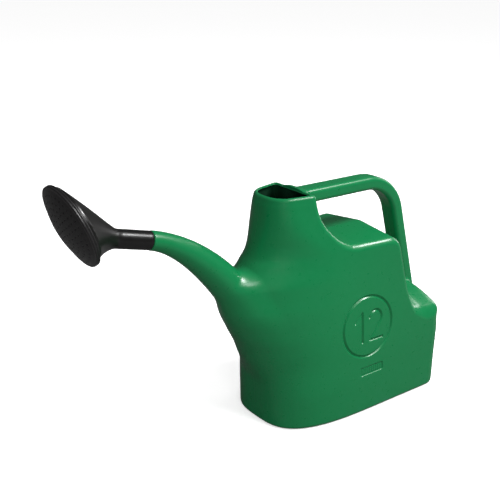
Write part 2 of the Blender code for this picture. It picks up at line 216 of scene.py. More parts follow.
def net_of(field: np.ndarray, axes: tuple[np.ndarray, ...]) -> tuple[np.ndarray, np.ndarray]:
    """Wrap a quad net round the places where a field changes sign.

    Every cell that the surface crosses gets one vertex, the mean of the crossings
    on its twelve edges, and every crossed edge joins its four cells with a quad.

    Args:
        field: signed depths at the grid's nodes.
        axes: the node positions along x, y and z.

    Returns:
        Vertices as (n, 3) and quads as (m, 4), facing outwards.
    """
    inside = field < 0.0
    shape = tuple(n - 1 for n in field.shape)
    total = np.zeros(shape + (3,))
    count = np.zeros(shape)
    grids = np.meshgrid(*axes, indexing="ij")
    edges = []
    for axis in range(3):
        low = [slice(None)] * 3
        high = [slice(None)] * 3
        low[axis] = slice(None, -1)
        high[axis] = slice(1, None)
        low, high = tuple(low), tuple(high)
        crossed = inside[low] != inside[high]
        a, b = field[low], field[high]
        t = np.where(crossed, a / np.where(crossed, a - b, 1.0), 0.0)
        place = np.stack([g[low] + t * (g[high] - g[low]) for g in grids], axis=-1)
        place *= crossed[..., None]
        sides = [s for s in range(3) if s != axis]
        for first in (0, 1):
            for second in (0, 1):
                take = [slice(None)] * 3
                take[sides[0]] = slice(first, first + shape[sides[0]])
                take[sides[1]] = slice(second, second + shape[sides[1]])
                total += place[tuple(take)]
                count += crossed[tuple(take)]
        edges.append((axis, crossed, inside[low]))
    used = count > 0
    number = np.full(shape, -1)
    number[used] = np.arange(used.sum())
    verts = total[used] / count[used][:, None]
    quads = []
    for axis, crossed, starts_inside in edges:
        where = np.argwhere(crossed)
        first, second = [(1, 2), (2, 0), (0, 1)][axis]
        keep = (where[:, first] > 0) & (where[:, second] > 0)
        keep &= (where[:, first] < shape[first]) & (where[:, second] < shape[second])
        where = where[keep]
        ring = []
        for back_first, back_second in ((1, 1), (0, 1), (0, 0), (1, 0)):
            cell = where.copy()
            cell[:, first] -= back_first
            cell[:, second] -= back_second
            ring.append(number[tuple(cell.T)])
        quad = np.stack(ring, axis=1)
        turned = ~starts_inside[tuple(where.T)]
        quad[turned] = quad[turned][:, ::-1]
        quads.append(quad)
    return verts, np.concatenate(quads)


def grid_faces(rows: int, columns: int, closed: bool = True, first: int = 0) -> np.ndarray:
    """Number the quads of a grid of points stored row by row.

    Args:
        rows: number of rows.
        columns: number of points in a row.
        closed: whether each row joins up into a ring.
        first: number of the grid's first point.

    Returns:
        Quads as (m, 4).
    """
    across = np.arange(columns if closed else columns - 1)
    beside = (across + 1) % columns
    up = np.arange(rows - 1)[:, None] * columns
    quads = np.stack([up + across, up + beside, up + columns + beside, up + columns + across], axis=-1)
    return quads.reshape(-1, 4) + first


def swept_rings(centres: np.ndarray, normals: np.ndarray, radii: np.ndarray, around: int) -> np.ndarray:
    """Carry a circle along a path: ring i lies round centre i, square to normal i.

    Args:
        centres: (n, 3) middles of the rings.
        normals: (n, 3) headings, all in the plane y = 0.
        radii: (n,) radii of the rings.
        around: number of points on a ring.

    Returns:
        The points as (n * around, 3).
    """
    headings = normals / np.linalg.norm(normals, axis=1)[:, None]
    side = np.array([0.0, 1.0, 0.0])
    up = np.cross(side, headings)
    angle = np.linspace(0.0, math.tau, around, endpoint=False)
    circle = np.cos(angle)[None, :, None] * up[:, None, :] + np.sin(angle)[None, :, None] * side
    return (centres[:, None, :] + radii[:, None, None] * circle).reshape(-1, 3)


def linked(mesh: bpy.types.Mesh) -> bpy.types.Object:
    """Put a finished mesh into the scene, smooth-shaded.

    Args:
        mesh: the mesh, with the piece's name.

    Returns:
        The linked object, at the origin.
    """
    mesh.validate()
    mesh.shade_smooth()
    piece = bpy.data.objects.new(mesh.name, mesh)
    bpy.context.scene.collection.objects.link(piece)
    return piece


def mesh_object(name: str, verts: np.ndarray, faces: np.ndarray) -> bpy.types.Object:
    """Put millimetre points and equal faces into a new smooth-shaded object.

    Args:
        name: the piece's name.
        verts: (n, 3) points in millimetres.
        faces: (m, 3) or (m, 4) vertex numbers.

    Returns:
        The linked object, at the origin.
    """
    mesh = bpy.data.meshes.new(name)
    mesh.vertices.add(len(verts))
    mesh.vertices.foreach_set("co", (verts * MM).astype(np.float32).ravel())
    size = faces.shape[1]
    mesh.loops.add(len(faces) * size)
    mesh.loops.foreach_set("vertex_index", faces.astype(np.int32).ravel())
    mesh.polygons.add(len(faces))
    mesh.polygons.foreach_set("loop_start", np.arange(len(faces), dtype=np.int32) * size)
    mesh.update(calc_edges=True)
    return linked(mesh)


def mesh_points(piece: bpy.types.Object) -> np.ndarray:
    """Return a piece's vertices in millimetres as (n, 3)."""
    flat = np.zeros(len(piece.data.vertices) * 3, np.float32)
    piece.data.vertices.foreach_get("co", flat)
    return flat.reshape(-1, 3).astype(float) / MM


# ------------------------------------------------------------- the can's skin

@dataclass
class Spout:
    """The curved, tapering spout: a tube along a cubic curve in the middle plane."""

    tip: np.ndarray
    rise: float
    reach_back: float = 191.0
    drop: float = 199.0
    swing: tuple[float, float] = (124.0, -70.0)
    straight: float = 50.0
    overrun: float = 20.0
    tip_radius: float = 13.5
    root_radius: float = 29.0
    taper: float = 2.2
    lip: float = 1.6

    def axis(self) -> np.ndarray:
        """Return the (x, z) direction in which the tip points."""
        return np.array([-math.cos(self.rise), math.sin(self.rise)])

    def past_tip(self, x: np.ndarray, z: np.ndarray) -> np.ndarray:
        """Return how far each point lies past the end face, along the tip's axis."""
        return (x - self.tip[0]) * self.axis()[0] + (z - self.tip[1]) * self.axis()[1]

    def line(self, steps: int = 60) -> PlaneLine:
        """Return the tube's middle line, a cubic curve that ends along the tip's axis.

        Args:
            steps: number of points on the curve.

        Returns:
            The line from the root, inside the tank, to a little past the tip.
        """
        start = self.tip + np.array([self.reach_back, -self.drop])
        first = self.tip + np.array(self.swing)
        second = self.tip - self.axis() * self.straight
        t = np.linspace(0.0, 1.0, steps)[:, None]
        s = 1.0 - t
        curve = s**3 * start + 3 * s * s * t * first + 3 * s * t * t * second + t**3 * self.tip
        return PlaneLine(np.vstack([curve, self.tip + self.axis() * self.overrun]))

    def depth(self, x: np.ndarray, y: np.ndarray, z: np.ndarray) -> np.ndarray:
        """Return signed depths of the tube, whose radius falls from root to tip.

        Args:
            x: x of each point.
            y: y of each point.
            z: z of each point.

        Returns:
            Distance to the middle line less the radius there, cut square at the tip.
        """
        line = self.line()
        gap, share = line.nearest(x, z)
        last = len(line.points) - 1
        t = np.clip(share * last / (last - 1), 0.0, 1.0)
        radius = self.tip_radius + (self.root_radius - self.tip_radius) * (1 - t * t) ** self.taper
        tube = np.hypot(gap, y) - radius
        return rounded_max(tube, self.past_tip(x, z), self.lip)


@dataclass
class Handle:
    """The hollow handle: a rounded bar from the neck, round a bend, down to the ledge."""

    top: float
    start_x: float
    foot: np.ndarray
    fall: float = 2.5
    bend: float = 70.0
    lean: float = math.radians(14.8)
    thickness: float = 21.0
    width: float = 32.0
    corner: float = 6.5
    root: float = 40.0

    def line(self) -> PlaneLine:
        """Return the bar's middle line: a level run, an arc and a leaning grip.

        Returns:
            The line from inside the neck to a root below the ledge.
        """
        height = self.top - self.thickness / 2
        bend_z = height - self.fall - self.bend
        end_z = bend_z + self.bend * math.sin(self.lean)
        bend_x = self.foot[0] - (end_z - self.foot[1]) * math.tan(self.lean)
        bend_x -= self.bend * math.cos(self.lean)
        angle = np.linspace(math.pi / 2, self.lean, 26)
        arc = np.stack([bend_x + self.bend * np.cos(angle), bend_z + self.bend * np.sin(angle)], 1)
        start = np.array([[self.start_x, height]])
        down = np.array([math.sin(self.lean), -math.cos(self.lean)])
        return PlaneLine(np.vstack([start, arc, self.foot, self.foot + down * self.root]))

    def depth(self, x: np.ndarray, y: np.ndarray, z: np.ndarray) -> np.ndarray:
        """Return signed depths of the bar: a rounded rectangle round its middle line.

        Args:
            x: x of each point.
            y: y of each point.
            z: z of each point.

        Returns:
            Distance outside the section's rounded rectangle, negative inside.
        """
        gap, _ = self.line().nearest(x, z)
        over = gap - (self.thickness / 2 - self.corner)
        beside = np.abs(y) - (self.width / 2 - self.corner)
        outside = np.hypot(np.maximum(over, 0.0), np.maximum(beside, 0.0))
        return outside + np.minimum(np.maximum(over, beside), 0.0) - self.corner


@dataclass
class Emblem:
    """The sunk ring with the capacity in it, and the sunk pad of upright ribs below."""

    centre_x: float = -6.4
    centre_z: float = 143.5
    ring_radius: float = 47.6
    groove: float = 6.0
    sunk: float = 2.3
    pad_x: float = 2.2
    pad_z: float = 71.0
    pad_half: tuple[float, float] = (24.0, 7.5)
    pad_sunk: float = 1.3
    pad_round: float = 4.0
    pad_slope: float = 1.2
    rib_rise: float = 0.3
    rib_pitch: float = 4.0
    numeral_height: float = 46.5

    def strokes(self) -> list[np.ndarray]:
        """Draw the numerals 1 and 2 as plain strokes.

        Returns:
            Their middle lines, as points along and up from the emblem's centre.
        """
        tall = self.numeral_height / 2
        one = np.array([(-24.0, tall * 0.44), (-11.0, tall), (-11.0, -tall)])
        turn = np.radians(np.linspace(168.0, -40.0, 14))
        bow = np.stack([15.0 + 12.0 * np.cos(turn), tall - 12.0 + 12.0 * np.sin(turn)], 1)
        two = np.vstack([bow, [(4.0, -tall)], [(29.0, -tall)]])
        return [one, two]

    def sinking(self, x: np.ndarray, y: np.ndarray, z: np.ndarray) -> np.ndarray:
        """Return how far the side is sunk at each point.

        A groove's section is half a cosine wave, deepest on its middle line. On the
        far side the drawing is turned about, so that it reads there too.

        Args:
            x: x of each point.
            y: y of each point.
            z: z of each point.

        Returns:
            Depths in millimetres, nothing away from the emblem.
        """
        along = np.where(y < 0.0, x - self.centre_x, self.centre_x - x)
        up = z - self.centre_z
        gap = np.abs(np.hypot(along, up) - self.ring_radius)
        for stroke in self.strokes():
            gap = np.minimum(gap, PlaneLine(stroke).nearest(along, up)[0])
        wave = 0.5 + 0.5 * np.cos(math.pi * np.clip(2.0 * gap / self.groove, 0.0, 1.0))
        beside = np.abs(x - self.pad_x) - self.pad_half[0]
        above = np.abs(z - self.pad_z) - self.pad_half[1]
        pad = rounded_max(beside, above, self.pad_round)
        ribs = self.rib_rise + self.rib_rise * np.cos(2.0 * math.pi * x / self.rib_pitch)
        ribs = ribs * (1.0 - eased(pad, -3.0 * self.pad_slope, -2.0 * self.pad_slope))
        sunk_pad = self.pad_sunk * (1.0 - eased(pad, -self.pad_slope, 0.0)) - ribs
        on_side = eased(np.abs(y), 40.0, 50.0)
        return (self.sunk * wave + sunk_pad) * on_side


@dataclass
class Can:
    """The whole moulding: tank, neck, spout and handle as one solid field."""

    spout: Spout
    handle: Handle
    emblem: Emblem
    rim: float
    neck_rear: float
    half_base: float = 90.0
    base_half_length: float = 155.0
    foot: float = 7.0
    wall: float = 2.4
    rim_band: float = 5.4
    rim_round: float = 4.6
    lip_round: float = 0.7
    mouth_well: float = 2.0
    mouth_corner: float = 6.0
    tip_bore: float = 9.5
    tip_well: float = 4.0
    deck_drop: float = 74.0
    ledge_drop: float = 199.0
    crown: float = 10.0
    ledge_saddle: float = 24.0
    side_reach: float = 85.0
    deck_edge: float = 9.0
    rear_corner: float = 16.0
    crotch_fillet: float = 13.0
    side_fillet: float = 15.0
    belly_fillet: float = 11.0
    grip_fillet: float = 5.0
    neck_fillet: float = 7.0
    floor_slack: float = 0.2
    floor_depth: float = 2.0
    floor_reach: float = 0.4
    cell: float = 2.8
    lining_cell: float = 4.5

    # heights of the plan outlines and, at each, the front, the half width by the
    # neck's rear, its growth per millimetre to the rear, and the nose's length and power
    HEIGHTS = np.array([0, 46, 93, 127, 155, 197, 225, 255, 268, 281, 299, 317, 340, 354.0])
    FRONT = np.array([0, 1, 5, 14, 28, 42, 42, 23, 12, 6, 1, -3, -6, -10.0])
    HALF = np.array([90, 89.6, 87.6, 85.3, 82.3, 76.2, 71.5, 66.1, 63.7, 61.1, 57.5, 53.9, 49.9, 47.6])
    GROWTH = np.array([0, 0, 0.01, 0.018, 0.03, 0.058, 0.084, 0.115, 0.128, 0.14, 0.16, 0.18, 0.22, 0.226])
    NOSE = np.array([180, 180, 182, 185, 187, 174, 152, 124, 106, 86, 63, 49, 37, 31.0])
    POWER = np.array([3.2, 3.2, 3.0, 2.9, 2.7, 2.5, 2.35, 2.2, 2.2, 2.2, 2.3, 2.5, 2.6, 2.7])

    def side_profile(self) -> PlaneLine:
        """Return the closed outline of the can's middle plane behind the nose.

        Its front, top and bottom lie well outside the can, where the nose, the rim
        and the foot cut it off.

        Returns:
            The line, closed from its last point to its first.
        """
        deck = self.rim - self.deck_drop
        ledge = self.rim - self.ledge_drop
        rear = self.base_half_length
        ahead = -400.0
        above = self.rim + FAR_OUTSIDE
        below = -FAR_OUTSIDE
        corners = [
            (ahead, below, 0), (ahead, above, 0),
            (self.neck_rear - 3.0, above, 0),  # the neck's rear, carried on past the rim
            (self.neck_rear + 7.0, deck - 0.5, 62.0),  # its sweep into the deck
            (58.0, deck + 1.5, 22.0),  # the hump's rear edge
            (86.0, ledge + 8.5, 46.0),  # its sweep into the ledge
            (rear + 3.0, ledge + 7.0, 20.0),  # the ledge's rear edge
            (rear + 4.5, 95.0, 150.0),  # the rear wall's slight belly
            (rear + 0.5, 0.0, 10.0), (rear, below, 0)]
        return PlaneLine(rounded_outline(corners))

    def plan_depth(self, x: np.ndarray, y: np.ndarray, z: np.ndarray) -> np.ndarray:
        """Return signed depths of the plan outline: sides that end in a superellipse nose.

        Args:
            x: x of each point.
            y: y of each point.
            z: z of each point.

        Returns:
            (G - 1) / |grad G| with G = (u^p + v^p)^(1/p), where u runs along the nose
            and v across it, so that near the skin it is a distance.
        """
        front = -self.base_half_length - flow(z, self.HEIGHTS, self.FRONT)
        nose = flow(z, self.HEIGHTS, self.NOSE)
        power = flow(z, self.HEIGHTS, self.POWER)
        half = flow(z, self.HEIGHTS, self.HALF)
        half = half + flow(z, self.HEIGHTS, self.GROWTH) * (x - self.neck_rear)
        half = np.clip(half, 5.0, self.half_base)
        u = np.maximum(front + nose - x, 0.0) / nose
        v = np.maximum(np.abs(y), 0.01) / half
        size = (u**power + v**power) ** (1.0 / power)
        slope_x = (u / size) ** (power - 1.0) / nose
        slope_y = (v / size) ** (power - 1.0) / half
        return (size - 1.0) / np.hypot(slope_x, slope_y)

    def tank_depth(self, x: np.ndarray, y: np.ndarray, z: np.ndarray) -> np.ndarray:
        """Return signed depths of tank and neck.

        The side profile meets the plan outline in a round. The profile's height is
        lifted by the crown, which falls from the middle plane to the sides.

        Args:
            x: x of each point.
            y: y of each point.
            z: z of each point.

        Returns:
            Signed depths, negative inside.
        """
        share = np.minimum(np.abs(y) / self.side_reach, 1.3)
        behind_neck = eased(x, self.neck_rear + 4.0, self.neck_rear + 55.0)
        on_ledge = eased(-z, -210.0, -165.0) * eased(x, 74.0, 96.0)
        ridge = self.crown * np.sqrt(share * share + 0.0006)
        saddle = self.ledge_saddle * share * share
        crown = behind_neck * (ridge * (1.0 - on_ledge) + saddle * on_ledge)
        profile = self.side_profile().depth(x, z + crown * eased(z, 90.0, 140.0))
        at_rear = eased(-z, -150.0, -118.0) * eased(x, 90.0, 125.0)
        edge = self.deck_edge + self.rear_corner * at_rear
        tank = rounded_max(self.plan_depth(x, y, z), profile, edge)
        return rounded_max(tank, z - self.rim, self.rim_round)

    def depth(self, x: np.ndarray, y: np.ndarray, z: np.ndarray) -> np.ndarray:
        """Return signed depths of the whole moulding as if it were solid.

        Args:
            x: x of each point.
            y: y of each point.
            z: z of each point.

        Returns:
            Tank, spout and handle joined with fillets, over a rounded foot.
        """
        body = self.tank_depth(x, y, z)
        near_spout = x < -110.0
        tube = np.full(np.shape(x), FAR_OUTSIDE)
        tube[near_spout] = self.spout.depth(x[near_spout], y[near_spout], z[near_spout])
        fillet = self.crotch_fillet + self.side_fillet * eased(-z, -262.0, -236.0)
        fillet = fillet + self.belly_fillet * eased(-z, -232.0, -170.0)
        body = rounded_min(body, tube, fillet)
        bar = np.full(np.shape(x), FAR_OUTSIDE)
        near_bar = (z > 100.0) & (x > self.neck_rear - 20.0)
        bar[near_bar] = self.handle.depth(x[near_bar], y[near_bar], z[near_bar])
        body = rounded_min(body, bar, self.grip_fillet + self.neck_fillet * eased(z, 300.0, 320.0))
        body = rounded_max(body, -z, self.foot)
        return body + self.emblem.sinking(x, y, z)

    def mouth_depth(self, x: np.ndarray, y: np.ndarray, z: np.ndarray) -> np.ndarray:
        """Return signed depths of the mouth's short well, parallel to the rim's edge."""
        level = np.full_like(z, self.rim - self.mouth_well)
        plan = self.plan_depth(x, y, level) + self.rim_band
        rear = x - (self.neck_rear - self.rim_band)
        return np.maximum(rounded_max(plan, rear, self.mouth_corner), self.rim - self.mouth_well - z)

    def tip_bore_depth(self, x: np.ndarray, y: np.ndarray, z: np.ndarray) -> np.ndarray:
        """Return signed depths of the short bore in the spout's end face."""
        axis = self.spout.axis()
        across = (x - self.spout.tip[0]) * -axis[1] + (z - self.spout.tip[1]) * axis[0]
        floor = -self.tip_well - self.spout.past_tip(x, z)
        return np.maximum(np.hypot(across, y) - self.tip_bore, floor)

    def skin_depth(self, x: np.ndarray, y: np.ndarray, z: np.ndarray) -> np.ndarray:
        """Return signed depths of the outer skin: the solid less both of its openings."""
        field = rounded_max(self.depth(x, y, z), -self.mouth_depth(x, y, z), self.lip_round)
        return np.maximum(field, -self.tip_bore_depth(x, y, z))

    def lining_depth(self, x: np.ndarray, y: np.ndarray, z: np.ndarray) -> np.ndarray:
        """Return signed depths of the hollow, a wall inside the solid."""
        return self.depth(x, y, z) + self.wall

    def net(self, field: Field, cell: float) -> tuple[np.ndarray, np.ndarray]:
        """Wrap a field in a quad net on a grid that is even about the middle plane.

        Args:
            field: the depth function to wrap.
            cell: the grid's spacing in millimetres.

        Returns:
            Vertices and quads.
        """
        spout_low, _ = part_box("spout")
        tank_low, tank_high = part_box("tank_shell")
        margin = 3.0 * cell
        x = np.arange(spout_low.x / MM - margin, tank_high.x / MM + margin, cell)
        half = math.ceil((tank_high.y / MM + margin) / cell)
        y = (np.arange(-half, half) + 0.5) * cell
        z = np.arange(tank_low.z / MM - margin, self.rim + margin, cell)
        LOG.info("field of %d x %d x %d nodes", len(x), len(y), len(z))
        grid = np.meshgrid(x, y, z, indexing="ij")
        values = field(*(g.ravel() for g in grid)).reshape(grid[0].shape)
        return net_of(values, (x, y, z))

    def refined(self, verts: np.ndarray, quads: np.ndarray) -> tuple[np.ndarray, list[list[int]]]:
        """Split the faces round emblem, pad, rim and spout tip into finer ones.

        Args:
            verts: the net's vertices.
            quads: the net's faces.

        Returns:
            New vertices, and faces of any size.
        """
        bm = bmesh.new()
        made = [bm.verts.new(point) for point in verts]
        for quad in quads:
            bm.faces.new([made[i] for i in quad])
        bm.faces.ensure_lookup_table()
        middle = verts[quads].mean(axis=1)
        emblem = self.emblem
        reach = emblem.ring_radius + emblem.groove
        disc = np.hypot(middle[:, 0] - emblem.centre_x, middle[:, 2] - emblem.centre_z) < reach
        margin = 3.0
        pad = np.abs(middle[:, 0] - emblem.pad_x) < emblem.pad_half[0] + margin
        pad &= np.abs(middle[:, 2] - emblem.pad_z) < emblem.pad_half[1] + margin
        on_sides = np.abs(middle[:, 1]) > 60.0
        marks = (disc | pad) & on_sides
        by_mouth = middle[:, 0] < self.neck_rear + 2.0 * margin
        rim = (middle[:, 2] > self.rim - 3.0 * margin) & by_mouth
        from_tip = middle[:, [0, 2]] - self.spout.tip
        tip = np.hypot(*from_tip.T) < self.spout.tip_radius + 2.5
        for chosen, cuts in ((marks, 3), (rim | tip, 2)):
            edges = {edge for i in np.flatnonzero(chosen) for edge in bm.faces[i].edges}
            bmesh.ops.subdivide_edges(bm, edges=list(edges), cuts=cuts, use_grid_fill=True)
            bm.faces.ensure_lookup_table()
        bm.verts.index_update()
        points = np.array([vert.co for vert in bm.verts])
        faces = [[vert.index for vert in face.verts] for face in bm.faces]
        bm.free()
        return points, faces

    def settled(self, points: np.ndarray, field: Field, rounds: int) -> np.ndarray:
        """Move points onto the place where a field is nothing.

        Each round takes a Newton step against the gradient, which is measured by
        central differences, and no step is longer than 2 mm.

        Args:
            points: (n, 3) points near the surface.
            field: the depth function.
            rounds: number of steps.

        Returns:
            The moved points.
        """
        for _ in range(rounds):
            value = field(*points.T)
            slope = slopes(points, field)
            step = (value / np.maximum((slope * slope).sum(axis=1), 0.25))[:, None] * slope
            length = np.linalg.norm(step, axis=1)[:, None]
            points = points - step * np.minimum(1.0, 2.0 / np.maximum(length, 1e-9))
        return points

    def evened(self, points: np.ndarray, quads: np.ndarray, field: Field) -> np.ndarray:
        """Slide the net's points along the surface towards their neighbours' mean.

        Args:
            points: (n, 3) points on the surface.
            quads: the net's faces.
            field: the depth function.

        Returns:
            The moved points, back on the surface.
        """
        pairs = np.concatenate([quads[:, [i, (i + 1) % 4]] for i in range(4)])
        count = np.bincount(pairs.ravel(), minlength=len(points))[:, None]
        for _ in range(3):
            total = np.zeros_like(points)
            for axis in range(3):
                total[:, axis] = np.bincount(pairs[:, 0], points[pairs[:, 1], axis], len(points))
                total[:, axis] += np.bincount(pairs[:, 1], points[pairs[:, 0], axis], len(points))
            points = self.settled(0.5 * points + 0.5 * total / count, field, 1)
        return points

    def opened(self, points: np.ndarray, faces: list[list[int]]) -> list[list[int]]:
        """Leave out the floors of the mouth's well and of the tip's bore.

        Args:
            points: the skin's points.
            faces: the skin's faces.

        Returns:
            The faces that stay.
        """
        x, y, z = points.T
        above_floor = z - (self.rim - self.mouth_well)
        in_mouth = (above_floor < self.floor_slack) & (above_floor > -self.floor_depth)
        in_mouth &= self.mouth_depth(x, y, np.full_like(z, self.rim)) < self.floor_reach
        above_floor = self.spout.past_tip(x, z) + self.tip_well
        in_bore = (above_floor < self.floor_slack) & (above_floor > -self.floor_depth)
        in_bore &= self.tip_bore_depth(x, y, z) < self.floor_reach
        floor = in_mouth | in_bore
        return [face for face in faces if not all(floor[i] for i in face)]

    def make_skin(self) -> bpy.types.Object:
        """Build the outer skin, open at the mouth and at the spout's tip.

        Returns:
            The finished piece, can_skin.
        """
        points, quads = self.net(self.skin_depth, self.cell)
        points = self.settled(points, self.skin_depth, 2)
        points = self.evened(points, quads, self.skin_depth)
        points, faces = self.refined(points, quads)
        points = self.settled(points, self.skin_depth, 4)
        skin = polygon_object("can_skin", points, self.opened(points, faces))
        set_normals(skin, self.skin_depth)
        return skin

    def make_lining(self) -> bpy.types.Object:
        """Build the inner wall, facing into the hollow, open under the mouth and the tip.

        Returns:
            The finished piece, can_lining.
        """
        points, quads = self.net(self.lining_depth, self.lining_cell)
        points = self.settled(points, self.lining_depth, 3)
        x, y, z = points.T
        near_top = z > self.rim - 8.0
        under_mouth = near_top & (self.mouth_depth(x, y, np.full_like(z, self.rim)) < 2.0)
        by_tip = self.spout.past_tip(x, z) > -self.wall - 2.0
        gone = under_mouth | (by_tip & (np.abs(y) < 40.0))
        quads = quads[~gone[quads].all(axis=1)]
        return mesh_object("can_lining", points, quads[:, ::-1])


def slopes(points: np.ndarray, field: Field, reach: float = 0.05) -> np.ndarray:
    """Return a field's gradient at points, by central differences over the reach."""
    columns = []
    for axis in range(3):
        step = np.zeros(3)
        step[axis] = reach
        columns.append((field(*(points + step).T) - field(*(points - step).T)) / (2.0 * reach))
    return np.stack(columns, axis=1)


def polygon_object(name: str, verts: np.ndarray, faces: list[list[int]]) -> bpy.types.Object:
    """Put millimetre points and faces of any size into a new smooth-shaded object.

    Args:
        name: the piece's name.
        verts: (n, 3) points in millimetres.
        faces: lists of vertex numbers.

    Returns:
        The linked object, with loose points removed.
    """
    mesh = bpy.data.meshes.new(name)
    used = np.zeros(len(verts), bool)
    used[np.concatenate([np.array(face) for face in faces])] = True
    number = np.cumsum(used) - 1
    mesh.from_pydata((verts[used] * MM).tolist(), [], [[int(number[i]) for i in face] for face in faces])
    return linked(mesh)


def set_normals(piece: bpy.types.Object, field: Field) -> None:
    """Give a piece's vertices the field's own normals, which are smoother than its faces'."""
    slope = slopes(mesh_points(piece), field, 0.25)
    slope /= np.maximum(np.linalg.norm(slope, axis=1)[:, None], 1e-9)
    piece.data.normals_split_custom_set_from_vertices(slope.tolist())


# ------------------------------------------------------------ spigot and rose

@dataclass
class Spigot:
    """The short tube that goes on from the spout's tip and carries the rose."""

    tip: np.ndarray
    axis: np.ndarray
    outer: float = 11.1
    inner: float = 9.3
    length: float = 34.0
    gap: float = 0.3
    edge: float = 0.7
    around: int = 96

    def build(self) -> bpy.types.Object:
        """Turn the tube's section, a thin rectangle with rounded ends, about the axis.

        Returns:
            The finished piece, spigot_tube.
        """
        quarter = np.linspace(0.0, math.pi / 2, 5)
        ends = [(self.outer - self.edge, self.length - self.edge, 0.0),
                (self.inner + self.edge, self.length - self.edge, math.pi / 2),
                (self.inner + self.edge, self.gap + self.edge, math.pi),
                (self.outer - self.edge, self.gap + self.edge, 1.5 * math.pi)]
        section = np.concatenate([
            np.stack([radius + self.edge * np.cos(start + quarter),
                      height + self.edge * np.sin(start + quarter)], 1)
            for radius, height, start in ends])
        centres = self.tip + section[:, 1:] * self.axis
        normals = np.repeat(self.axis[None, :], len(section), axis=0)
        verts = swept_rings(centres, normals, section[:, 0], self.around)
        return mesh_object("spigot_tube", verts, closed_both_ways(len(section), self.around))


def closed_both_ways(rows: int, columns: int) -> np.ndarray:
    """Number the quads of rings whose last ring joins the first.

    Args:
        rows: number of rings.
        columns: number of points on a ring.

    Returns:
        Quads as (m, 4).
    """
    quads = grid_faces(rows, columns)
    last = (rows - 1) * columns
    across = np.arange(columns)
    beside = (across + 1) % columns
    return np.concatenate([quads, np.stack([last + across, last + beside, beside, across], 1)])


